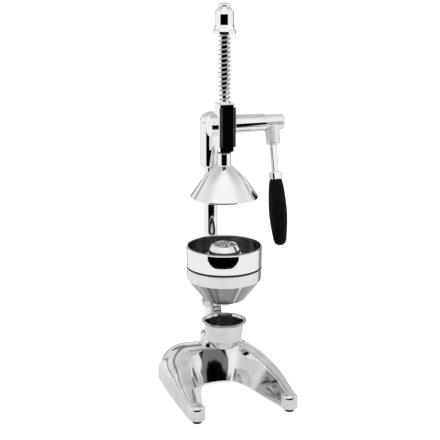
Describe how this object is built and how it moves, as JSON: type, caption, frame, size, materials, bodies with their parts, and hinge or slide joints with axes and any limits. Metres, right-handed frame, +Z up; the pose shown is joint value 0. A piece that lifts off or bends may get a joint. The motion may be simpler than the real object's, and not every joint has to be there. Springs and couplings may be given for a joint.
{
  "type": "lever citrus juice press",
  "caption": "Upright lever press for citrus: a rack carries a cone down onto a reamer in a strainer bowl over a funnel, on a column with a horseshoe base.",
  "frame": {"origin": "on the table, under the middle of the part's bounding box in plan", "axes": "+Z up, -Y to the front where the glass bay opens, +X to the side of the lever"},
  "size_m": [0.15, 0.1836, 0.485],
  "materials": {
    "polished_chrome": "polished chrome plate",
    "polished_steel": "polished stainless steel",
    "gear_steel": "bright machined steel",
    "spring_steel": "bright drawn wire",
    "screw_steel": "zinc plated",
    "bush_bronze": "sintered bronze",
    "cast_aluminium": "satin cast aluminium",
    "black_rubber": "matt black rubber",
    "black_plastic": "satin black"
  },
  "bodies": {
    "frame": {"base_casting": "polished_chrome", "rubber_feet": "black_rubber", "foot_screws": "screw_steel", "column": "polished_chrome", "column_bolt": "screw_steel", "column_washer": "screw_steel", "boss_set_screw": "screw_steel", "head_casting": "polished_chrome", "head_set_screw": "screw_steel", "barrel_cap": "polished_chrome", "shaft_bushes": "bush_bronze", "return_spring": "spring_steel", "funnel_holder": "cast_aluminium", "holder_clamp_screw": "screw_steel", "bowl_seal": "black_rubber", "arm_stop_ring": "polished_chrome"},
    "lever": {"pinion_shaft": "screw_steel", "pinion_gear": "gear_steel", "pinion_pin": "screw_steel", "lever_hub": "polished_chrome", "hub_set_screw": "screw_steel", "lever_rod": "polished_chrome", "ferrule": "polished_chrome", "grip": "black_plastic"},
    "press": {"rack_rod": "gear_steel", "knob": "polished_chrome", "stop_washer": "black_rubber", "press_cone": "polished_steel", "cone_nut": "screw_steel"},
    "bowl": {"strainer_bowl": "polished_steel"},
    "reamer": {"reamer_dome": "polished_steel"},
    "drip_cup": {"drip_cup": "polished_steel", "cup_arm": "polished_chrome", "cup_rivets": "screw_steel"}
  },
  "joints": [
    {"name": "lever_turn", "type": "hinge", "parent": "frame", "child": "lever", "pos_m": [-0.005, 0.00907, 0.3383], "axis": [1, 0, 0], "range_deg": [0, 298]},
    {"name": "rack_slide", "type": "slide", "parent": "frame", "child": "press", "axis": [0, 0, -1], "range_m": [0, 0.0525], "stiffness_N_per_m": 350, "springref_m": -0.04, "deforming": ["return_spring"]},
    {"name": "bowl_lift", "type": "slide", "parent": "frame", "child": "bowl", "axis": [0, 0, 1], "range_m": [0, 0.012]},
    {"name": "reamer_lift", "type": "slide", "parent": "bowl", "child": "reamer", "axis": [0, 0, 1], "range_m": [0, 0.008]},
    {"name": "cup_swivel", "type": "hinge", "parent": "frame", "child": "drip_cup", "pos_m": [-0.005, 0.0501, 0.1], "axis": [0, 0, 1], "range_deg": [-110, 110]}
  ],
  "couplings": [
    {"joint": "rack_slide", "follows": "lever_turn", "m_per_rad": 0.01}
  ]
}
